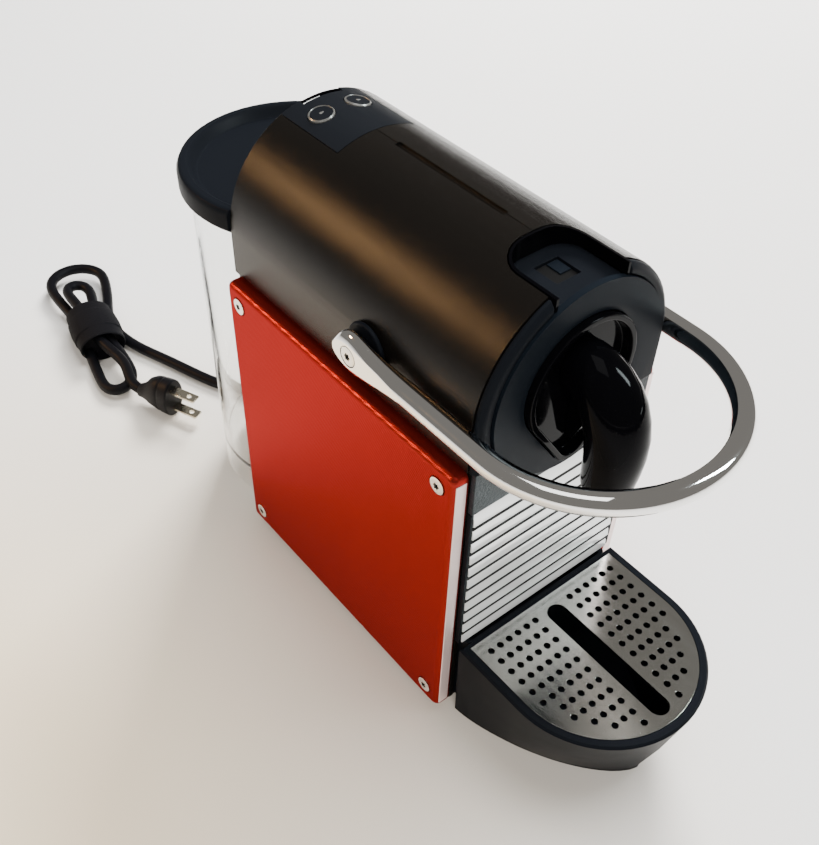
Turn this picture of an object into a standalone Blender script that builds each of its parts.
"""Pod coffee machine, built as an assembly. Metres, +Z up, the front faces -Y, X is the width.

The origin is on the floor, midway between the front of the drip tray and the back of the tank lid.
"""
import math

import bmesh
import bpy
from mathutils import Vector

GAP = 0.0003                 # clearance between neighbouring pieces

# Casing
PANEL_INNER, PANEL_OUTER = 0.048, 0.0555
PANEL_FRONT, PANEL_REAR = -0.072, 0.086
PANEL_BOTTOM, PANEL_TOP = 0.005, 0.163
PANEL_EDGE = 0.003
SCREW_INSET = 0.0095
BARREL_RADIUS, BARREL_Z = 0.0495, 0.1855
SHELL_FRONT, SHELL_REAR = -0.072, 0.087
SHELL_WALL = 0.0024
SHELL_LOWER_HALF = 0.0477    # half width of the casing behind the side panels
SHELL_STEP_Z = PANEL_TOP + 0.0013
CHASSIS_BOTTOM, CHASSIS_TOP = 0.003, 0.007
SHELL_FOOT = CHASSIS_TOP + GAP
SEAM_GROOVE = (-0.030, 0.0335)

# Capsule slot pocket and control panel, both let into the top of the barrel
POCKET_HALF, POCKET_REAR, POCKET_CORNER = 0.0186, -0.044, 0.012
PANEL_INSET_HALF, PANEL_INSET_FRONT = 0.0194, 0.047
SHUTTER_TOP = 0.226
BUTTON_Y, BUTTON_ANGLE, BUTTON_RADIUS = 0.072, math.radians(11), 0.0059

# Front
FACE_BACK = SHELL_FRONT - GAP
DIAL_Z, DIAL_RADIUS = 0.187, 0.043
SURROUND_Z, SURROUND_RADIUS = 0.189, 0.0275
SURROUND_FOOT_HALF, SURROUND_FOOT_Z = 0.0095, 0.1475
BEZEL_BOTTOM, BEZEL_TOP = 0.1413, 0.1637

# Lever and brew unit
PIVOT_Y, PIVOT_Z = -0.012, BARREL_Z
LEVER_HALF, LEVER_ARC_Y, LEVER_REACH, LEVER_BAR = 0.0549, -0.085, 0.0531, 0.00475
CRANK_RADIUS, CRANK_LEAN = 0.0185, math.radians(42.5)
BREW_Z = DIAL_Z
PIN_RADIUS = 0.0025

# Tray, container, tank
TRAY_HALF, TRAY_REAR, TRAY_ARC_Y, TRAY_TOP = 0.0486, -0.0765, -0.1146, 0.054
TRAY_FOOT_HALF, TRAY_FOOT_REACH, TRAY_FOOT_POWER = 0.0475, 0.0745, 1.5
GRID_HALF, GRID_REAR = 0.0443, -0.0793
BAY_REAR = -0.014
CONTAINER_BOTTOM, CONTAINER_TOP = TRAY_TOP + 0.0006, 0.138
RIB_PITCH, RIB_DEPTH = 0.00785, 0.0018
TANK_Y, TANK_RADIUS, TANK_FLAT = 0.1085, 0.050, 0.0879
TANK_BOTTOM, TANK_FLOOR, TANK_TOP, TANK_WALL = 0.008, 0.028, 0.184, 0.0022
LID_RADIUS, LID_FLAT, LID_TOP = 0.0547, 0.0875, 0.196

# Mains cord
CORD_RADIUS = 0.0032
GLAND_X, GLAND_START, GLAND_END = -0.003, 0.1363, 0.168
HANK_NEAR, HANK_FAR = Vector((-0.0645, 0.223, 0)), Vector((-0.0395, 0.346, 0))
PLUG_FACE, PLUG_AXIS = Vector((-0.0472, 0.1868, 0.0131)), Vector((0.39, -0.92, 0)).normalized()


# ---------------------------------------------------------------- building blocks

def clear_scene():
    for old in list(bpy.data.objects):
        bpy.data.objects.remove(old, do_unlink=True)


def finish(name, colour, roughness, metallic=0.0, alpha=1.0):
    made = bpy.data.materials.new(name)
    made.use_nodes = True
    shader = made.node_tree.nodes["Principled BSDF"]
    shader.inputs["Base Color"].default_value = (*colour, 1.0)
    shader.inputs["Roughness"].default_value = roughness
    shader.inputs["Metallic"].default_value = metallic
    shader.inputs["Alpha"].default_value = alpha
    return made


def on_plane(outline, axis, place):
    """A flat outline in space: on an X plane it reads (y, z), on a Y plane (x, z), on a Z plane (x, y)."""
    if axis == "x":
        return [(place, u, v) for u, v in outline]
    if axis == "y":
        return [(u, place, v) for u, v in outline]
    return [(u, v, place) for u, v in outline]


def skin(bm, loops, closed=False):
    """One body through loops of equal length: capped at both ends, or running round into itself."""
    rings = [[bm.verts.new(point) for point in loop] for loop in loops]
    count = len(rings[0])
    pairs = list(zip(rings, rings[1:]))
    faces = []
    if closed:
        pairs.append((rings[-1], rings[0]))
    else:
        faces += [bm.faces.new(rings[0]), bm.faces.new(rings[-1][::-1])]
    for a, b in pairs:
        for i in range(count):
            j = (i + 1) % count
            faces.append(bm.faces.new((a[i], b[i], b[j], a[j])))
    bmesh.ops.recalc_face_normals(bm, faces=faces)


def prism(bm, outline, axis, low, high):
    skin(bm, [on_plane(outline, axis, low), on_plane(outline, axis, high)])


def collar(bm, outer, inner, axis, low, high):
    """A prism with a hole through it; both outlines have the same number of points."""
    skin(bm, [on_plane(outer, axis, low), on_plane(outer, axis, high),
              on_plane(inner, axis, high), on_plane(inner, axis, low)], closed=True)


def box(bm, x, y, z):
    prism(bm, [(x[0], y[0]), (x[1], y[0]), (x[1], y[1]), (x[0], y[1])], "z", z[0], z[1])


def circle(centre, radius, segments):
    turns = [2 * math.pi * i / segments for i in range(segments)]
    return [(centre[0] + radius * math.cos(a), centre[1] + radius * math.sin(a)) for a in turns]


def arc(centre, radius, start, end, segments):
    turns = [math.radians(start + (end - start) * i / segments) for i in range(segments + 1)]
    return [(centre[0] + radius * math.cos(a), centre[1] + radius * math.sin(a)) for a in turns]


def rounded_box(low, high, radius, segments=3):
    (x0, y0), (x1, y1) = low, high
    return (arc((x1 - radius, y1 - radius), radius, 0, 90, segments)
            + arc((x0 + radius, y1 - radius), radius, 90, 180, segments)
            + arc((x0 + radius, y0 + radius), radius, 180, 270, segments)
            + arc((x1 - radius, y0 + radius), radius, 270, 360, segments))


def capsule_outline(a, b, radius_a, radius_b, segments):
    """The outline round two circles."""
    a, b = Vector(a), Vector(b)
    lean = math.degrees(math.atan2(b.y - a.y, b.x - a.x))
    tilt = math.degrees(math.acos((radius_a - radius_b) / (b - a).length))
    near = arc(a, radius_a, lean + tilt, lean + 360 - tilt, segments)
    return near + arc(b, radius_b, lean - tilt, lean + tilt, segments)


def tube(bm, points, radius, sides):
    """A round bar along points, its ends flat."""
    points = [Vector(p) for p in points]
    side = None
    loops = []
    for i, point in enumerate(points):
        along = (points[min(i + 1, len(points) - 1)] - points[max(i - 1, 0)]).normalized()
        if side is None:
            side = along.orthogonal().normalized()
        side = (side - along * side.dot(along)).normalized()
        other = along.cross(side)
        turns = [2 * math.pi * k / sides for k in range(sides)]
        loops.append([point + radius * (math.cos(a) * side + math.sin(a) * other) for a in turns])
    skin(bm, loops)


def smooth_through(points, steps):
    """Points along a smooth curve that passes through all the given ones."""
    points = [Vector(p) for p in points]
    padded = [2 * points[0] - points[1]] + points + [2 * points[-1] - points[-2]]
    made = []
    for before, start, end, after in zip(padded, padded[1:], padded[2:], padded[3:]):
        for k in range(steps):
            t = k / steps
            made.append(0.5 * (2 * start + (end - before) * t
                               + (2 * before - 5 * start + 4 * end - after) * t * t
                               + (3 * start - before - 3 * end + after) * t ** 3))
    return made + [points[-1]]


PLACES = {}


def carrier(name, place, on=None):
    """An empty on a joint's axis, which carries a moving body's pieces."""
    made = bpy.data.objects.new(name, None)
    bpy.context.scene.collection.objects.link(made)
    made.parent = on
    made.location = Vector(place) - (PLACES[on.name] if on else Vector())
    PLACES[name] = Vector(place)
    return made


def part(name, bm, material, on=None):
    """A named piece from a body built in world coordinates, carried by an empty if it moves."""
    if on:
        bmesh.ops.translate(bm, verts=bm.verts, vec=-PLACES[on.name])
    mesh = bpy.data.meshes.new(name)
    bm.to_mesh(mesh)
    bm.free()
    mesh.materials.append(material)
    mesh.shade_smooth()
    mesh.set_sharp_from_angle(angle=math.radians(32))
    made = bpy.data.objects.new(name, mesh)
    bpy.context.scene.collection.objects.link(made)
    made.parent = on
    return made


def combine(target, tool, operation="DIFFERENCE", solver="EXACT"):
    """Cut, join or keep the target with a tool body; several tools are separate solids in one mesh."""
    name = f"{target.name}_tool_{len(target.modifiers)}"
    mesh = bpy.data.meshes.new(name)
    tool.to_mesh(mesh)
    tool.free()
    made = bpy.data.objects.new(name, mesh)
    bpy.context.scene.collection.objects.link(made)
    made.hide_render = True
    made.display_type = "WIRE"
    modifier = target.modifiers.new("combine", "BOOLEAN")
    modifier.operation = operation
    modifier.solver = solver
    modifier.object = made


# ---------------------------------------------------------------- shared outlines

def arch(half_low, half_high, bottom, step, segments=24):
    """A barrel arch seen from the front: straight sides below, the round top above."""
    top = arc((0, BARREL_Z), half_high, 0, 180, segments)
    return ([(half_low, bottom), (half_low, step), (half_high, step)] + top
            + [(-half_high, step), (-half_low, step), (-half_low, bottom)])


def pocket_outline(grow, front):
    """The capsule slot from above: open at the front, round-cornered at the back."""
    half, rear, corner = POCKET_HALF + grow, POCKET_REAR + grow, POCKET_CORNER + grow
    return ([(half, front)] + arc((half - corner, rear - corner), corner, 0, 90, 6)
            + arc((corner - half, rear - corner), corner, 90, 180, 6) + [(-half, front)])


def teardrop(grow, segments=20):
    """The spout surround from the front: a circle that runs down to a narrow round foot."""
    foot = SURROUND_FOOT_HALF + grow
    return capsule_outline((0, SURROUND_Z), (0, SURROUND_FOOT_Z + SURROUND_FOOT_HALF),
                           SURROUND_RADIUS + grow, foot, segments)


def tray_outline(half, rear, segments=56):
    """The tray's rim from above: straight sides into a half circle, sampled by angle round its back."""
    reach = rear - TRAY_ARC_Y
    made = []
    for i in range(segments + 1):
        a = math.pi * i / segments
        across, ahead = math.cos(a), math.sin(a)
        distance = half / abs(across) if abs(across) > 1e-6 else 1.0
        if distance * ahead > reach:
            distance = reach * ahead + math.sqrt((reach * ahead) ** 2 - reach ** 2 + half ** 2)
        made.append((distance * across, rear - distance * ahead))
    return made


def tray_foot(inset, segments=56):
    """The tray's smaller, pointed bottom outline, sampled by the same angles."""
    made = []
    for i in range(segments + 1):
        a = math.pi * i / segments
        across, ahead = abs(math.cos(a)), math.sin(a)
        distance = ((across / (TRAY_FOOT_HALF - inset)) ** TRAY_FOOT_POWER
                    + (ahead / (TRAY_FOOT_REACH - inset)) ** TRAY_FOOT_POWER) ** (-1 / TRAY_FOOT_POWER)
        made.append((distance * math.cos(a), TRAY_REAR - inset - distance * ahead))
    return made


def blend(a, b, share):
    return [(p[0] * (1 - share) + q[0] * share, p[1] * (1 - share) + q[1] * share) for p, q in zip(a, b)]


def d_outline(radius, flat, segments=48):
    """A circle round the tank's axis with its front cut flat."""
    start = math.degrees(math.asin((flat - TANK_Y) / radius))
    return arc((0, TANK_Y), radius, start, 180 - start, segments)


# ---------------------------------------------------------------- casing

def half_shell(side):
    seam = 0.00015
    roof = BARREL_RADIUS - SHELL_WALL
    lower = SHELL_LOWER_HALF - SHELL_WALL
    first = math.degrees(math.acos(seam / BARREL_RADIUS))
    outline = arc((0, BARREL_Z), BARREL_RADIUS, first, 0, 14)
    outline += [(BARREL_RADIUS, SHELL_STEP_Z), (SHELL_LOWER_HALF, SHELL_STEP_Z), (SHELL_LOWER_HALF, SHELL_FOOT)]
    outline += [(lower, SHELL_FOOT), (lower, SHELL_STEP_Z + SHELL_WALL), (roof, SHELL_STEP_Z + SHELL_WALL)]
    outline += arc((0, BARREL_Z), roof, 0, first, 14)
    bm = bmesh.new()
    prism(bm, [(side * x, z) for x, z in outline], "y", SHELL_FRONT, SHELL_REAR)
    made = part("left_half_shell" if side < 0 else "right_half_shell", bm, BRONZE)
    tool = bmesh.new()
    over, under = 0.24, 0.2245
    prism(tool, pocket_outline(GAP, SHELL_FRONT - 0.004), "z", under, over)
    box(tool, (-0.0197, 0.0197), (PANEL_INSET_FRONT, SHELL_REAR + 0.004), (0.222, over))
    box(tool, (-0.0015, 0.0015), SEAM_GROOVE, (BARREL_Z + BARREL_RADIUS - 0.0012, over))
    reach = sorted((side * 0.044, side * 0.052))
    prism(tool, circle((PIVOT_Y, PIVOT_Z), 0.0076, 20), "x", *reach)
    for y, z in screw_places():
        prism(tool, circle((y, z), 0.0024, 8), "x", *reach)
    combine(made, tool)


def screw_places():
    ys = (PANEL_FRONT + SCREW_INSET, PANEL_REAR - SCREW_INSET)
    zs = (PANEL_BOTTOM + SCREW_INSET, PANEL_TOP - SCREW_INSET)
    return [(y, z) for y in ys for z in zs]


def side_panel(side):
    """A pressed pan: a thin face with turned-back edges, rounded outside, open towards the casing."""
    wall = 0.0015

    def loop(x, inset, corner):
        low, high = (PANEL_FRONT + inset, PANEL_BOTTOM + inset), (PANEL_REAR - inset, PANEL_TOP - inset)
        return on_plane(rounded_box(low, high, corner), "x", side * x)

    loops = [loop(PANEL_OUTER - wall, 2 * wall, 0.0012), loop(PANEL_INNER, wall, 0.0022), loop(PANEL_INNER, 0, 0.0034)]
    for k in range(5):
        a = math.radians(90 * k / 4)
        inset = PANEL_EDGE * (1 - math.cos(a))
        loops.append(loop(PANEL_OUTER - PANEL_EDGE * (1 - math.sin(a)), inset, 0.0034 - 0.8 * inset))
    bm = bmesh.new()
    skin(bm, loops)
    made = part("left_side_panel" if side < 0 else "right_side_panel", bm, RED)
    tool = bmesh.new()
    reach = sorted((side * (PANEL_OUTER - 0.004), side * (PANEL_OUTER + 0.002)))
    for y, z in screw_places():
        prism(tool, circle((y, z), 0.0043, 14), "x", *reach)
    combine(made, tool)


def socket_screw(bm, side, y, z, face, head_radius, head, tip, shank_radius, segments=12):
    """A round-headed screw along X, its head at face, with a socket sunk in it."""
    def ring(x, radius):
        return on_plane(circle((y, z), radius, segments), "x", side * x)

    skin(bm, [ring(face - 0.001, 0.0015), ring(face, 0.0019), ring(face, head_radius - 0.0008),
              ring(face - 0.0006, head_radius), ring(face - head, head_radius),
              ring(face - head, shank_radius), ring(tip, shank_radius)])


def side_panel_screws(side):
    flank = "left" if side < 0 else "right"
    for number, (y, z) in enumerate(screw_places(), 1):
        bm = bmesh.new()
        socket_screw(bm, side, y, z, PANEL_OUTER - 0.0003, 0.004, 0.0017, 0.0458, 0.0019)
        part(f"{flank}_panel_screw_{number}", bm, STEEL)


def base_chassis():
    half, tongue, rear = 0.0474, 0.025, SHELL_REAR - GAP
    outline = [(-half, -0.070), (half, -0.070), (half, rear), (tongue, rear), (tongue, 0.132),
               (tongue - 0.004, 0.136), (0.004 - tongue, 0.136), (-tongue, 0.132), (-tongue, rear), (-half, rear)]
    bm = bmesh.new()
    prism(bm, outline, "z", CHASSIS_BOTTOM, CHASSIS_TOP)
    part("base_chassis", bm, BLACK)


def rubber_foot(name, y):
    """A strip of rubber across the chassis."""
    def loop(inset, z):
        return on_plane(rounded_box((-0.042 + inset, y - 0.005 + inset), (0.042 - inset, y + 0.005 - inset), 0.004), "z", z)

    bm = bmesh.new()
    skin(bm, [loop(0.0005, 0.0), loop(0.0, 0.0006), loop(0.0, CHASSIS_BOTTOM - GAP)])
    part(name, bm, RUBBER)


def slot_frame():
    """The wall round the capsule slot, cut to the barrel's curve on top."""
    front = FACE_BACK - 0.0032
    bm = bmesh.new()
    outer, inner = pocket_outline(-GAP, front), pocket_outline(-0.0014, front)
    prism(bm, outer + inner[::-1], "z", SHUTTER_TOP + GAP, 0.238)
    made = part("slot_frame", bm, GLOSS)
    tool = bmesh.new()
    prism(tool, circle((0, BARREL_Z), BARREL_RADIUS - 0.0001, 96), "y", front - 0.005, POCKET_REAR + 0.01)
    combine(made, tool, "INTERSECT")


def barrel_band(half, inner, outer, segments):
    """A strip of the barrel's skin across the top, seen from the front."""
    start = math.degrees(math.acos(half / outer))
    start_in = math.degrees(math.acos(half / inner))
    return (arc((0, BARREL_Z), outer, start, 180 - start, segments)
            + arc((0, BARREL_Z), inner, 180 - start_in, start_in, segments))


def radial(angle, radius):
    return radius * math.sin(angle), BARREL_Z + radius * math.cos(angle)


def button_rod(bm, angle, inner, outer, radius, segments=20):
    """A round rod square to the barrel's surface at the buttons' place."""
    x0, z0 = radial(angle, inner)
    x1, z1 = radial(angle, outer)
    loops = []
    for x, z in ((x0, z0), (x1, z1)):
        turns = [2 * math.pi * k / segments for k in range(segments)]
        loops.append([(x + radius * math.cos(a) * math.cos(angle), BUTTON_Y + radius * math.sin(a),
                       z - radius * math.cos(a) * math.sin(angle)) for a in turns])
    skin(bm, loops)


def control_panel():
    bm = bmesh.new()
    band = barrel_band(PANEL_INSET_HALF, BARREL_RADIUS - 0.0022, BARREL_RADIUS, 10)
    prism(bm, band, "y", PANEL_INSET_FRONT + GAP, SHELL_REAR)
    made = part("control_panel", bm, BLACK)
    tool = bmesh.new()
    for angle in (-BUTTON_ANGLE, BUTTON_ANGLE):
        button_rod(tool, angle, 0.045, 0.052, BUTTON_RADIUS + 0.0003)
    box(tool, (-0.0102, 0.0102), (0.0836, 0.090), (0.228, 0.238))
    combine(made, tool)


def push_button(name, angle, body):
    bm = bmesh.new()
    button_rod(bm, angle, 0.0455, BARREL_RADIUS + 0.0006, BUTTON_RADIUS)
    part(name, bm, BLACK, body)


def tank_light_guide():
    bm = bmesh.new()
    band = barrel_band(0.0099, BARREL_RADIUS - 0.0023, BARREL_RADIUS - 0.0008, 6)
    prism(bm, band, "y", 0.0839, SHELL_REAR - 0.0004)
    part("tank_light_guide", bm, WHITE)


def button_board():
    """The small circuit board under the buttons, with a switch below each."""
    bm = bmesh.new()
    box(bm, (-0.017, 0.017), (0.054, 0.080), (0.2235, 0.2251))
    made = part("button_board", bm, CIRCUIT)
    tool = bmesh.new()
    for x in (-0.009, 0.009):
        box(tool, (x - 0.003, x + 0.003), (BUTTON_Y - 0.003, BUTTON_Y + 0.003), (0.2245, 0.2274))
    combine(made, tool, "UNION")


def rear_wall():
    bm = bmesh.new()
    outline = arch(SHELL_LOWER_HALF - SHELL_WALL - GAP, BARREL_RADIUS - SHELL_WALL - GAP,
                   SHELL_FOOT + GAP, SHELL_STEP_Z + SHELL_WALL + GAP, 20)
    prism(bm, outline, "y", 0.0844, SHELL_REAR - GAP)
    made = part("rear_wall", bm, BLACK)
    tool = bmesh.new()
    prism(tool, circle((0, 0.0115), 0.0031, 12), "y", 0.080, 0.090)
    combine(made, tool)


# ---------------------------------------------------------------- front

def front_cover():
    """The arched ring round the dial with its back plate, open at the capsule slot."""
    bm = bmesh.new()
    low = BEZEL_TOP + GAP
    half = BARREL_RADIUS - 0.0003
    lower = [(half, low)] + arc((0, BARREL_Z), half, 0, 180, 32) + [(-half, low)]
    face = [(half - 0.0022, low)] + arc((0, BARREL_Z), half - 0.0022, 0, 180, 32) + [(0.0022 - half, low)]
    skin(bm, [on_plane(face, "y", FACE_BACK - 0.0036), on_plane(lower, "y", FACE_BACK - 0.0016),
              on_plane(lower, "y", FACE_BACK)])
    made = part("front_cover", bm, BLACK)
    tool = bmesh.new()
    prism(tool, circle((0, DIAL_Z), DIAL_RADIUS + GAP, 48), "y", FACE_BACK - 0.006, FACE_BACK - 0.0018)
    combine(made, tool)
    tool = bmesh.new()
    prism(tool, teardrop(GAP), "y", FACE_BACK - 0.003, FACE_BACK + 0.003)
    combine(made, tool)
    tool = bmesh.new()
    reach = POCKET_HALF + GAP
    box(tool, (-reach, reach), (FACE_BACK - 0.008, FACE_BACK + 0.003), (0.2231, 0.240))
    combine(made, tool)


def front_bezel():
    """The shoulder plate under the dial."""
    half = SHELL_LOWER_HALF - 0.0001
    bm = bmesh.new()
    box(bm, (-half, half), (FACE_BACK - 0.0026, FACE_BACK), (BEZEL_BOTTOM, BEZEL_TOP))
    made = part("front_bezel", bm, BLACK)
    tool = bmesh.new()
    prism(tool, circle((0, DIAL_Z), DIAL_RADIUS + GAP, 48), "y", FACE_BACK - 0.006, FACE_BACK + 0.003)
    combine(made, tool)


def front_dial():
    bm = bmesh.new()
    back = FACE_BACK - 0.0018 - GAP
    rings = ((0.0, back), (0.0, back - 0.0020), (0.0008, back - 0.0026))
    skin(bm, [on_plane(circle((0, DIAL_Z), DIAL_RADIUS - inset, 48), "y", y) for inset, y in rings])
    made = part("front_dial", bm, BLACK)
    tool = bmesh.new()
    prism(tool, teardrop(GAP), "y", back - 0.006, back + 0.003)
    combine(made, tool)


SURROUND_FRONT = FACE_BACK - 0.0070
SURROUND_FLOOR = FACE_BACK - 0.0024


def spout_surround():
    """A teardrop dish: a raised glossy rim round the recess that the spout grows from."""
    bm = bmesh.new()
    loops = ((-0.0034, SURROUND_FLOOR), (-0.0030, SURROUND_FRONT + 0.0008), (-0.0022, SURROUND_FRONT),
             (-0.0008, SURROUND_FRONT), (0.0, SURROUND_FRONT + 0.0008), (0.0, FACE_BACK - 0.0008))
    skin(bm, [on_plane(teardrop(grow), "y", y) for grow, y in loops])
    part("spout_surround", bm, GLOSS)


def coffee_spout():
    """A trunk that bends over and down, with a thin web back to the recess, built in level slices."""
    front = ((0.1500, -0.1120, 0.0128), (0.1600, -0.1120, 0.0132), (0.1700, -0.1116, 0.0134),
             (0.1790, -0.1108, 0.0134), (0.1870, -0.1088, 0.0132), (0.1940, -0.1052, 0.0130),
             (0.2000, -0.1000, 0.0126), (0.2050, -0.0935, 0.0120), (0.2085, -0.0860, 0.0108),
             (0.2100, -0.0800, 0.0090))
    root = SURROUND_FLOOR - GAP
    web = 0.0052
    loops = []
    for z, y, half in front:
        depth = min(0.024, root - y)
        nose = min(half, 0.45 * depth)
        round_front = [(half * math.cos(a), y + nose - nose * math.sin(a))
                       for a in (math.pi * k / 10 for k in range(11))]
        rear = min(y + depth, root - 0.0004)
        web_start = min(rear + 0.0025, root - 0.0002)
        web_end = root if z > 0.155 else web_start + 0.0005
        loops.append([(web, web_end), (web, web_start), (half * 0.93, rear)] + round_front
                     + [(-half * 0.93, rear), (-web, web_start), (-web, web_end)])
    bm = bmesh.new()
    skin(bm, [on_plane(loop, "z", z) for loop, (z, _, _) in zip(loops, front)])
    made = part("coffee_spout", bm, GLOSS)
    tool = bmesh.new()
    prism(tool, circle((0, -0.1000), 0.0075, 16), "z", 0.145, 0.158)
    combine(made, tool)


# ---------------------------------------------------------------- brew unit and lever

def brew_plate(side):
    bm = bmesh.new()
    outline = rounded_box((-0.060, 0.158), (0.034, 0.200), 0.005, 2)
    prism(bm, outline, "x", side * 0.035, side * 0.0375)
    made = part("left_brew_plate" if side < 0 else "right_brew_plate", bm, ALUMINIUM)
    tool = bmesh.new()
    reach = sorted((side * 0.033, side * 0.040))
    prism(tool, circle((PIVOT_Y, PIVOT_Z), 0.0050, 20), "x", *reach)
    combine(made, tool)


def brew_head():
    """The fixed front plate that the capsule is pressed against."""
    bm = bmesh.new()
    prism(bm, circle((0, BREW_Z), 0.0235, 32), "y", FACE_BACK + 0.0006, -0.0690)
    made = part("brew_head", bm, BLACK)
    tool = bmesh.new()
    prism(tool, circle((0, BREW_Z), 0.0030, 12), "y", -0.076, -0.066)
    combine(made, tool)


def brew_guide_block():
    """Carries the piston's stem and closes the brew frame at the back."""
    bm = bmesh.new()
    outline = rounded_box((-0.0346, 0.165), (0.0346, 0.206), 0.005)
    prism(bm, outline, "y", 0.010, 0.030)
    made = part("brew_guide_block", bm, BLACK)
    tool = bmesh.new()
    prism(tool, circle((0, BREW_Z), 0.0095, 24), "y", 0.006, 0.034)
    combine(made, tool)


def capsule_cage(body):
    bm = bmesh.new()
    rings = ((0.0180, -0.0415), (0.0187, -0.0685), (0.0220, -0.0685), (0.0220, -0.0385))
    skin(bm, [on_plane(circle((0, BREW_Z), r, 32), "y", y) for r, y in rings])
    part("capsule_cage", bm, STEEL, body)


def crank_pin():
    return (PIVOT_Y - CRANK_RADIUS * math.sin(CRANK_LEAN), PIVOT_Z + CRANK_RADIUS * math.cos(CRANK_LEAN))


def carriage_yoke(body):
    """The plate behind the capsule cage, with its guide stem and two slotted cheeks that the crank pins drive."""
    pin_y, pin_z = crank_pin()
    slot, sink = PIN_RADIUS + 0.0007, pin_z - PIN_RADIUS - 0.0006
    back, top, cheek_rear = -0.0382, 0.2085, -0.0160
    cheek = [(back, 0.186), (cheek_rear, 0.190), (cheek_rear, top), (pin_y + slot, top), (pin_y + slot, sink),
             (pin_y - slot, sink), (pin_y - slot, top), (back, top)]
    bm = bmesh.new()
    loops = [on_plane(cheek, "x", x) for x in (-0.028, -0.0241)]
    skin(bm, loops)
    skin(bm, [on_plane(cheek, "x", x) for x in (0.0241, 0.028)])
    made = part("carriage_yoke", bm, ALUMINIUM, body)
    tool = bmesh.new()
    box(tool, (-0.0275, 0.0275), (back + 0.0001, -0.0342), (0.170, 0.2042))
    combine(made, tool, "UNION")
    tool = bmesh.new()
    prism(tool, circle((0, BREW_Z), 0.0090, 24), "y", -0.0360, 0.022)
    combine(made, tool, "UNION")


def slot_shutter(body):
    """The lid of the capsule slot, drawn back by an arm on the carriage."""
    bm = bmesh.new()
    prism(bm, rounded_box((-0.017, -0.0737), (0.017, -0.0350), 0.0015, 2), "z", SHUTTER_TOP - 0.0025, SHUTTER_TOP)
    made = part("slot_shutter", bm, BLACK, body)
    tool = bmesh.new()
    box(tool, (-0.006, 0.006), (-0.0380, -0.0352), (0.2045, SHUTTER_TOP - 0.001))
    combine(made, tool, "UNION")


def lever_section(along_y, centre, half_thick, half_high, power, place, sides=12):
    """One cross-section of the lever: place is a point on its centre line, along_y its heading angle."""
    made = []
    for k in range(sides):
        a = 2 * math.pi * (k + 0.5) / sides
        u = half_thick * math.copysign(abs(math.cos(a)) ** (2 / power), math.cos(a))
        v = half_high * math.copysign(abs(math.sin(a)) ** (2 / power), math.sin(a))
        made.append((place[0] + centre * math.cos(along_y) + u * math.cos(along_y),
                     place[1] + u * math.sin(along_y), PIVOT_Z + v))
    return made


def lever_bar(body):
    """A round chrome bar bent into a U, with flattened ends that carry the pivots."""
    pad = ((-0.0023, 0.0030), (-0.0045, 0.0066), (-0.0080, 0.0092), (-0.0120, 0.0100), (-0.0170, 0.0094),
           (-0.0230, 0.0080), (-0.0300, 0.0064), (-0.0370, 0.0052), (-0.0440, LEVER_BAR))
    first = []
    for y, high in pad:
        share = min(1.0, max(0.0, (-0.0230 - y) / 0.021))
        first.append(lever_section(0.0, -0.0009 * (1 - share), 0.0038 + 0.00095 * share, high,
                                   5 - 3 * share, (-LEVER_HALF, y)))
    steps = 22
    bend = []
    for k in range(steps + 1):
        a = math.pi * k / steps
        x, y = -LEVER_HALF * math.cos(a), LEVER_ARC_Y - LEVER_REACH * math.sin(a)
        heading = math.atan2(LEVER_HALF * math.sin(a), LEVER_REACH * math.cos(a))
        bend.append(lever_section(heading, 0.0, LEVER_BAR, LEVER_BAR, 2, (x, y)))
    last = [[(-x, y, z) for x, y, z in loop] for loop in reversed(first)]
    bm = bmesh.new()
    skin(bm, first + bend + last)
    made = part("lever_bar", bm, CHROME, body)
    tool = bmesh.new()
    for side in (-1, 1):
        prism(tool, circle((PIVOT_Y, PIVOT_Z), 0.0044, 20), "x", *sorted((side * 0.0578, side * 0.0620)))
    combine(made, tool)
    tool = bmesh.new()
    for side in (-1, 1):
        prism(tool, circle((PIVOT_Y, PIVOT_Z), 0.0026, 12), "x", *sorted((side * 0.0500, side * 0.0600)))
    combine(made, tool)


def lever_bush(side):
    """A plastic bearing in the casing's side, with the collar that shows behind the lever's end."""
    rings = ((0.0049, 0.0516), (0.0104, 0.0516), (0.0110, 0.0511), (0.0110, 0.0498), (0.0073, 0.0498),
             (0.0073, 0.0455), (0.0049, 0.0455))
    bm = bmesh.new()
    skin(bm, [on_plane(circle((PIVOT_Y, PIVOT_Z), r, 24), "x", side * x) for r, x in rings], closed=True)
    part("left_lever_bush" if side < 0 else "right_lever_bush", bm, BLACK)


def lever_crank(side, body):
    """A stub shaft through the bush, with the crank arm and its drive pin on the inner end."""
    bm = bmesh.new()
    outline = capsule_outline((PIVOT_Y, PIVOT_Z), crank_pin(), 0.0070, 0.0045, 10)
    prism(bm, outline, "x", side * 0.0290, side * 0.0331)
    made = part("left_lever_crank" if side < 0 else "right_lever_crank", bm, STEEL, body)
    for centre, radius, near, far in ((crank_pin(), PIN_RADIUS, 0.0236, 0.0300),
                                      ((PIVOT_Y, PIVOT_Z), 0.0045, 0.0300, 0.0516)):
        tool = bmesh.new()
        prism(tool, circle(centre, radius, 16), "x", *sorted((side * near, side * far)))
        combine(made, tool, "UNION")


# ---------------------------------------------------------------- water and electric works

PUMP_X, PUMP_Y = 0.022, 0.040


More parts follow.
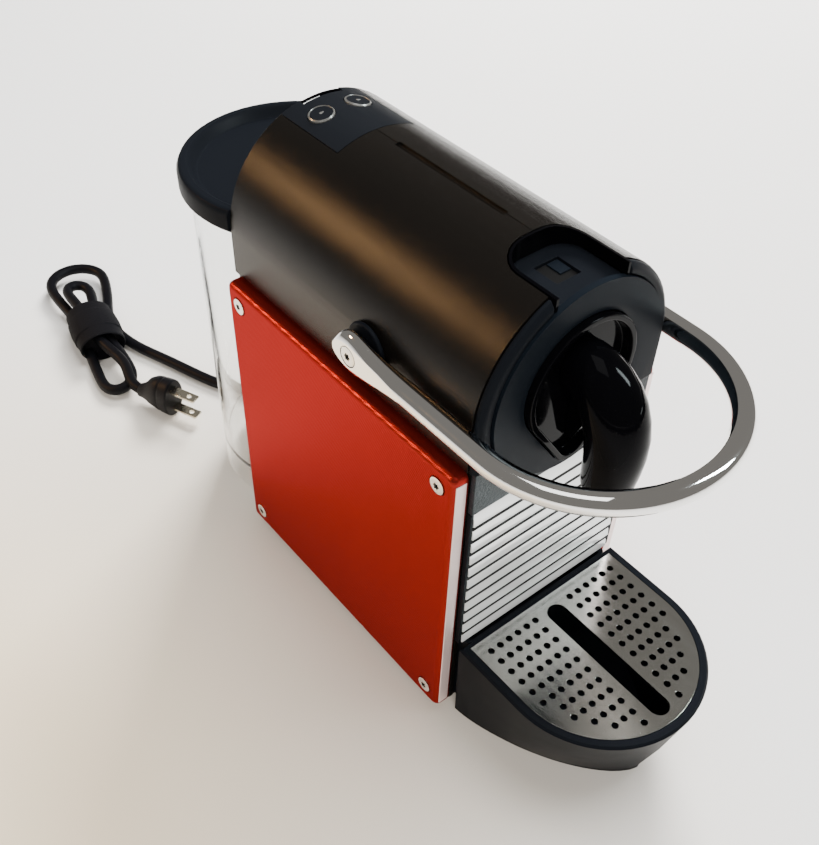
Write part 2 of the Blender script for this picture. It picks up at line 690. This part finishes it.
def water_pump():
    """A vibrating pump: a square coil yoke on its inlet barrel, with the outlet on top."""
    bm = bmesh.new()
    prism(bm, rounded_box((PUMP_X - 0.018, PUMP_Y - 0.020), (PUMP_X + 0.018, PUMP_Y + 0.020), 0.003), "z", 0.040, 0.084)
    made = part("water_pump", bm, STEEL)
    tool = bmesh.new()
    rings = ((0.0110, SHELL_FOOT), (0.0110, 0.014), (0.0090, 0.016), (0.0090, 0.0860), (0.0080, 0.0862),
             (0.0080, 0.096), (0.0050, 0.097), (0.0050, 0.106))
    skin(tool, [on_plane(circle((PUMP_X, PUMP_Y), r, 16), "z", z) for r, z in rings])
    combine(made, tool, "UNION")


def thermoblock():
    """The cast water heater, ribbed along its length."""
    outline = []
    ribs, pitch = 6, 0.0080
    for k in range(ribs):
        z = 0.101 + pitch * k
        outline += [(0.050, z), (0.050, z + 0.6 * pitch), (0.053, z + 0.6 * pitch), (0.053, z + pitch)]
    outline += [(0.078, 0.101 + ribs * pitch), (0.078, 0.101)]
    bm = bmesh.new()
    prism(bm, outline, "x", -0.026, 0.026)
    part("thermoblock", bm, ALUMINIUM)


def flow_meter():
    bm = bmesh.new()
    rings = ((0.0135, SHELL_FOOT), (0.0140, 0.009), (0.0140, 0.018), (0.0120, 0.0195))
    skin(bm, [on_plane(circle((-0.024, 0.066), r, 20), "z", z) for r, z in rings])
    part("flow_meter", bm, WHITE)


def control_board():
    bm = bmesh.new()
    box(bm, (-0.0415, -0.0399), (-0.004, 0.058), (0.050, 0.130))
    made = part("control_board", bm, CIRCUIT)
    tool = bmesh.new()
    base = -0.0405
    for deep, y, z in ((0.014, (0.000, 0.018), (0.096, 0.118)), (0.011, (0.024, 0.044), (0.100, 0.114)),
                       (0.016, (0.004, 0.022), (0.060, 0.084)), (0.008, (0.030, 0.050), (0.062, 0.080))):
        box(tool, (base, base + deep), y, z)
    combine(made, tool, "UNION")


def hoses():
    runs = {
        "inlet_hose": ((0, 0.0771, 0.0115), (0, 0.0760, 0.0115), (-0.004, 0.073, 0.015), (-0.012, 0.070, 0.026), (-0.019, 0.066, 0.026),
                       (-0.020, 0.064, 0.0200)),
        "pump_hose": ((-0.029, 0.066, 0.0200), (-0.028, 0.064, 0.028), (-0.018, 0.054, 0.034), (0.000, 0.042, 0.030),
                      (0.0125, 0.040, 0.030)),
        "heater_hose": ((0.022, 0.040, 0.1064), (0.022, 0.040, 0.114), (0.022, 0.0405, 0.121), (0.021, 0.044, 0.126),
                        (0.020, 0.0496, 0.1262)),
        "brew_hose": ((0, 0.064, 0.1494), (0, 0.063, 0.1535), (0, 0.054, 0.158), (0, 0.036, 0.1570), (0, 0.022, 0.1580),
                      (0, 0.020, 0.1640)),
    }
    for name, run in runs.items():
        bm = bmesh.new()
        tube(bm, smooth_through(run, 3), 0.0022, 7)
        part(name, bm, HOSE)


# ---------------------------------------------------------------- tray and container

def pan(bm, half, y, z, wall):
    """A rectangular box without a lid, as wide as half on each side."""
    def loop(inset, height):
        low, high = (-half + inset, y[0] + inset), (half - inset, y[1] - inset)
        return on_plane(rounded_box(low, high, 0.004 - 0.5 * inset, 2), "z", height)

    skin(bm, [loop(0.0015, z[0]), loop(0, z[0] + 0.0015), loop(0, z[1]), loop(wall, z[1]), loop(wall, z[0] + wall)])


def drip_tray(body):
    def rim(inset):
        return tray_outline(TRAY_HALF - inset, TRAY_REAR - min(inset, 0.0025))

    middle, bottom = 0.027, 0.001
    loops = [on_plane(tray_foot(0.0020), "z", bottom), on_plane(tray_foot(0.0), "z", bottom + 0.0022),
             on_plane(blend(rim(0), tray_foot(0), 0.46), "z", middle),
             on_plane(rim(0), "z", TRAY_TOP - 0.0012), on_plane(rim(0.0010), "z", TRAY_TOP),
             on_plane(rim(0.0040), "z", TRAY_TOP), on_plane(rim(0.0040), "z", TRAY_TOP - 0.0021),
             on_plane(rim(0.0064), "z", TRAY_TOP - 0.0021),
             on_plane(blend(rim(0.0064), tray_foot(0.0050), 0.46), "z", middle),
             on_plane(tray_foot(0.0060), "z", bottom + 0.005)]
    bm = bmesh.new()
    skin(bm, loops)
    made = part("drip_tray", bm, BLACK, body)
    tool = bmesh.new()
    pan(tool, 0.0444, (TRAY_REAR - 0.0012, BAY_REAR), (SHELL_FOOT + GAP, TRAY_TOP - 0.0001), 0.0016)
    combine(made, tool, "UNION", "MANIFOLD")


def drip_grid(body):
    """The cup grid: a long slot down the middle and rows of round holes on both sides."""
    bm = bmesh.new()
    prism(bm, tray_outline(GRID_HALF, GRID_REAR), "z", TRAY_TOP - 0.0018, TRAY_TOP)
    made = part("drip_grid", bm, STEEL, body)
    low, high = TRAY_TOP - 0.004, TRAY_TOP + 0.002
    tool = bmesh.new()
    prism(tool, capsule_outline((0, -0.0895), (0, -0.150), 0.0050, 0.0050, 6), "z", low, high)
    for row, count in enumerate((6, 6, 6, 6, 6, 6, 5, 5, 4, 3, 1)):
        for column in range(count):
            for side in (-1, 1):
                place = (side * (0.0110 + 0.0054 * column), -0.0860 - 0.0066 * row)
                prism(tool, circle(place, 0.0016, 6), "z", low, high)
    combine(made, tool)


def capsule_container(body):
    bm = bmesh.new()
    pan(bm, 0.0444, (SHELL_FRONT, BAY_REAR), (CONTAINER_BOTTOM, CONTAINER_TOP), 0.0016)
    part("capsule_container", bm, BLACK, body)


def container_front(body):
    """The ribbed bright front: overlapping boards, each leaning out towards its lower edge."""
    back = FACE_BACK
    ribs = 11
    bottom = BEZEL_BOTTOM - GAP - ribs * RIB_PITCH
    outline = [(back, bottom), (back - 0.0010, bottom)]
    for k in range(ribs):
        z = bottom + RIB_PITCH * k
        outline += [(back - 0.0010 - RIB_DEPTH, z + 0.0004), (back - 0.0006 - RIB_DEPTH, z + 0.0042),
                    (back - 0.0010, z + RIB_PITCH - 0.0006)]
    outline += [(back - 0.0010, bottom + ribs * RIB_PITCH), (back, bottom + ribs * RIB_PITCH)]
    bm = bmesh.new()
    prism(bm, outline, "x", -0.0466, 0.0466)
    part("container_front", bm, CHROME, body)


# ---------------------------------------------------------------- tank

def water_tank(body):
    def ring(inset, z):
        return on_plane(d_outline(TANK_RADIUS - inset, TANK_FLAT + inset), "z", z)

    bm = bmesh.new()
    skin(bm, [ring(TANK_WALL, TANK_FLOOR - TANK_WALL), ring(TANK_WALL, TANK_BOTTOM + 0.001),
              ring(0.0012, TANK_BOTTOM), ring(0.0, TANK_BOTTOM + 0.0016), ring(0, TANK_TOP),
              ring(TANK_WALL, TANK_TOP), ring(TANK_WALL, TANK_FLOOR)])
    made = part("water_tank", bm, CLEAR, body)
    tool = bmesh.new()
    prism(tool, circle((0, 0.112), 0.0063, 20), "z", TANK_FLOOR - 0.006, TANK_FLOOR + 0.004)
    combine(made, tool)
    tool = bmesh.new()
    box(tool, (-0.0135, 0.0135), (TANK_FLAT - 0.002, TANK_FLAT + 0.004), (TANK_BOTTOM - 0.002, 0.0172))
    combine(made, tool)


def tank_valve(body):
    bm = bmesh.new()
    rings = ((0.0060, 0.0245), (0.0060, TANK_FLOOR + GAP), (0.0085, TANK_FLOOR + GAP), (0.0085, 0.031), (0.0040, 0.034))
    skin(bm, [on_plane(circle((0, 0.112), r, 20), "z", z) for r, z in rings])
    part("tank_valve", bm, BLACK, body)


def tank_dock():
    """The valve seat under the tank, with a spigot through the rear wall for the hose."""
    bm = bmesh.new()
    box(bm, (-0.012, 0.012), (SHELL_REAR, 0.122), (SHELL_FOOT, 0.0155))
    made = part("tank_dock", bm, BLACK)
    tool = bmesh.new()
    prism(tool, circle((0, 0.112), 0.0080, 20), "z", 0.0140, 0.0241)
    combine(made, tool, "UNION")
    tool = bmesh.new()
    prism(tool, circle((0, 0.0115), 0.0028, 12), "y", 0.0783, 0.0900)
    combine(made, tool, "UNION")


def tank_lid(body):
    rings = ((TANK_RADIUS - 0.0026, TANK_FLAT + 0.0026, TANK_TOP - 0.004),
             (TANK_RADIUS - 0.0026, TANK_FLAT + 0.0026, TANK_TOP + GAP),
             (LID_RADIUS - 0.0012, LID_FLAT + 0.0002, TANK_TOP + GAP), (LID_RADIUS, LID_FLAT, TANK_TOP + 0.0018),
             (LID_RADIUS, LID_FLAT, LID_TOP - 0.0030), (LID_RADIUS - 0.0010, LID_FLAT, LID_TOP - 0.0009),
             (LID_RADIUS - 0.0028, LID_FLAT, LID_TOP), (LID_RADIUS - 0.0048, LID_FLAT + 0.002, LID_TOP),
             (LID_RADIUS - 0.0066, LID_FLAT + 0.004, LID_TOP - 0.0014),
             (LID_RADIUS - 0.0086, LID_FLAT + 0.006, LID_TOP - 0.0042),
             (LID_RADIUS - 0.0100, LID_FLAT + 0.007, LID_TOP - 0.0048))
    bm = bmesh.new()
    skin(bm, [on_plane(d_outline(radius, flat, 40), "z", z) for radius, flat, z in rings])
    part("tank_lid", bm, BLACK, body)


# ---------------------------------------------------------------- mains cord

def cord_gland():
    """The tapered strain relief at the back of the foot."""
    bm = bmesh.new()
    rings = ((0.0037, GLAND_START), (0.0037, GLAND_START + 0.010), (0.00345, GLAND_END))
    skin(bm, [on_plane(circle((GLAND_X, 0.00375), r, 16), "y", y) for r, y in rings])
    part("cord_gland", bm, RUBBER)


def power_cord():
    lie = CORD_RADIUS + 0.0001
    route = ((GLAND_X, GLAND_END + 0.0004, 0.0035), (-0.0032, 0.1700, 0.0034), (-0.0047, 0.1740, lie), (-0.0080, 0.1805, lie),
             (-0.0122, 0.1880, lie), (-0.0160, 0.1960, lie), (-0.0194, 0.2050, lie), (-0.0224, 0.2140, lie),
             (-0.0253, 0.2230, lie), (-0.0284, 0.2320, lie), (-0.0317, 0.2410, lie), (-0.0352, 0.2500, lie),
             (-0.0378, 0.2570, lie))
    points = smooth_through(route, 2)
    data = bpy.data.curves.new("power_cord", "CURVE")
    data.dimensions = "3D"
    data.bevel_depth = CORD_RADIUS
    data.bevel_resolution = 2
    data.use_fill_caps = True
    line = data.splines.new("POLY")
    line.points.add(len(points) - 1)
    for spot, place in zip(line.points, points):
        spot.co = (*place, 1.0)
    data.materials.append(RUBBER)
    made = bpy.data.objects.new("power_cord", data)
    bpy.context.scene.collection.objects.link(made)


def hank_place(along, across):
    """A point on the floor in the hank's own axes: along it from its near end, and across to its right."""
    forward = (HANK_FAR - HANK_NEAR).normalized()
    right = Vector((forward.y, -forward.x, 0))
    spot = HANK_NEAR + forward * along + right * across
    return spot.x, spot.y


def cord_hank():
    length = (HANK_FAR - HANK_NEAR).length
    near = [(0.0115 * math.sin(a), -0.0115 * math.cos(a)) for a in (math.radians(t) for t in range(-80, 81, 20))]
    far = [(0.0155 * math.sin(a), 0.0155 * math.cos(a)) for a in (math.radians(t) for t in range(100, -101, -20))]
    outline = [hank_place(v, u) for u, v in near]
    outline += [hank_place(0.028, 0.0134), hank_place(0.080, 0.0134)]
    outline += [hank_place(length + v, u) for u, v in far]
    outline += [hank_place(0.080, -0.0134), hank_place(0.028, -0.0134)]
    bm = bmesh.new()
    prism(bm, outline, "z", 0.0016, 0.0200)
    part("cord_hank", bm, RUBBER)


def cord_tie():
    """The strap round the hank's middle."""
    def loop(along, half, low, high, corner):
        made = []
        for u, z in rounded_box((-half, low), (half, high), corner):
            x, y = hank_place(along, u)
            made.append((x, y, z))
        return made

    outer = (0.0150, 0.0, 0.0218, 0.0040)
    inner = (0.0137, 0.0013, 0.0203, 0.0004)
    bm = bmesh.new()
    skin(bm, [loop(0.036, *outer), loop(0.074, *outer), loop(0.074, *inner), loop(0.036, *inner)], closed=True)
    part("cord_tie", bm, RUBBER)


def plug_loop(back, half_thick, half_high, centre_z, power, segments=16):
    """One cross-section of the plug, at a distance behind its face."""
    right = Vector((-PLUG_AXIS.y, PLUG_AXIS.x, 0))
    made = []
    for k in range(segments):
        a = 2 * math.pi * k / segments
        u = half_thick * math.copysign(abs(math.cos(a)) ** (2 / power), math.cos(a))
        v = half_high * math.copysign(abs(math.sin(a)) ** (2 / power), math.sin(a))
        spot = PLUG_FACE - PLUG_AXIS * back + right * u
        made.append((spot.x, spot.y, centre_z + v))
    return made


def power_plug():
    """A moulded two-blade plug lying on its edge, its neck running to the hank."""
    bm = bmesh.new()
    loops = ((0.0, 0.0082, 0.0122, 0.0131, 2.6), (0.0012, 0.0090, 0.0130, 0.0131, 2.6),
             (0.0100, 0.0090, 0.0130, 0.0131, 2.6), (0.0170, 0.0078, 0.0108, 0.0120, 2.4),
             (0.0200, 0.0058, 0.0076, 0.0100, 2.2), (0.0255, 0.0044, 0.0048, 0.0085, 2.0))
    skin(bm, [plug_loop(*loop) for loop in loops])
    made = part("power_plug", bm, RUBBER)
    right = Vector((-PLUG_AXIS.y, PLUG_AXIS.x, 0))
    tool = bmesh.new()
    for height in (-0.00635, 0.00635):
        loops = []
        for ahead, half in ((-0.0020, 0.00315), (0.0160, 0.00315), (0.0178, 0.0022)):
            spot = PLUG_FACE + PLUG_AXIS * ahead
            low, high = PLUG_FACE.z + height - 0.00075, PLUG_FACE.z + height + 0.00075
            corners = ((-half, low), (half, low), (half, high), (-half, high))
            loops.append([((spot + right * u).x, (spot + right * u).y, z) for u, z in corners])
        skin(tool, loops)
    combine(made, tool, "UNION")


# ---------------------------------------------------------------- assembly

clear_scene()

BRONZE = finish("bronze_shell", (0.045, 0.036, 0.028), 0.38, 0.55)
BLACK = finish("black_plastic", (0.018, 0.020, 0.024), 0.45)
GLOSS = finish("glossy_black", (0.008, 0.008, 0.010), 0.08)
RED = finish("red_anodised", (0.45, 0.018, 0.012), 0.30, 0.7)
CHROME = finish("chrome", (0.85, 0.85, 0.86), 0.06, 1.0)
STEEL = finish("steel", (0.62, 0.62, 0.63), 0.28, 1.0)
ALUMINIUM = finish("cast_aluminium", (0.55, 0.56, 0.57), 0.45, 1.0)
RUBBER = finish("black_rubber", (0.014, 0.014, 0.015), 0.60)
WHITE = finish("white_plastic", (0.82, 0.82, 0.80), 0.35)
HOSE = finish("hose_plastic", (0.75, 0.76, 0.74), 0.35)
CIRCUIT = finish("circuit_board", (0.02, 0.16, 0.06), 0.50)
CLEAR = finish("clear_plastic", (0.90, 0.92, 0.92), 0.05, 0.0, 0.3)

for flank in (-1, 1):
    half_shell(flank)
    side_panel(flank)
    side_panel_screws(flank)
    brew_plate(flank)
    lever_bush(flank)
base_chassis()
rubber_foot("front_foot", -0.060)
rubber_foot("rear_foot", 0.074)
slot_frame()
control_panel()
tank_light_guide()
button_board()
rear_wall()
front_cover()
front_bezel()
front_dial()
spout_surround()
coffee_spout()
brew_head()
brew_guide_block()
water_pump()
thermoblock()
flow_meter()
control_board()
hoses()
tank_dock()

lever = carrier("lever_pivot", (0, PIVOT_Y, PIVOT_Z))
lever_bar(lever)
for flank in (-1, 1):
    lever_crank(flank, lever)

carriage = carrier("carriage_slide", (0, PIVOT_Y, BREW_Z))
capsule_cage(carriage)
carriage_yoke(carriage)
slot_shutter(carriage)

for title, lean in (("espresso_button", -BUTTON_ANGLE), ("lungo_button", BUTTON_ANGLE)):
    seat_x, seat_z = radial(lean, BARREL_RADIUS)
    push_button(title, lean, carrier(title + "_slide", (seat_x, BUTTON_Y, seat_z)))

tray = carrier("tray_slide", (0, TRAY_REAR, 0))
drip_tray(tray)
drip_grid(carrier("grid_lift", (0, TRAY_ARC_Y, TRAY_TOP), tray))
container = carrier("container_slide", (0, FACE_BACK, CONTAINER_BOTTOM), tray)
capsule_container(container)
container_front(container)

tank = carrier("tank_lift", (0, TANK_Y, TANK_BOTTOM))
water_tank(tank)
tank_valve(tank)
tank_lid(carrier("lid_lift", (0, TANK_Y, TANK_TOP), tank))

cord_gland()
power_cord()
cord_hank()
cord_tie()
power_plug()
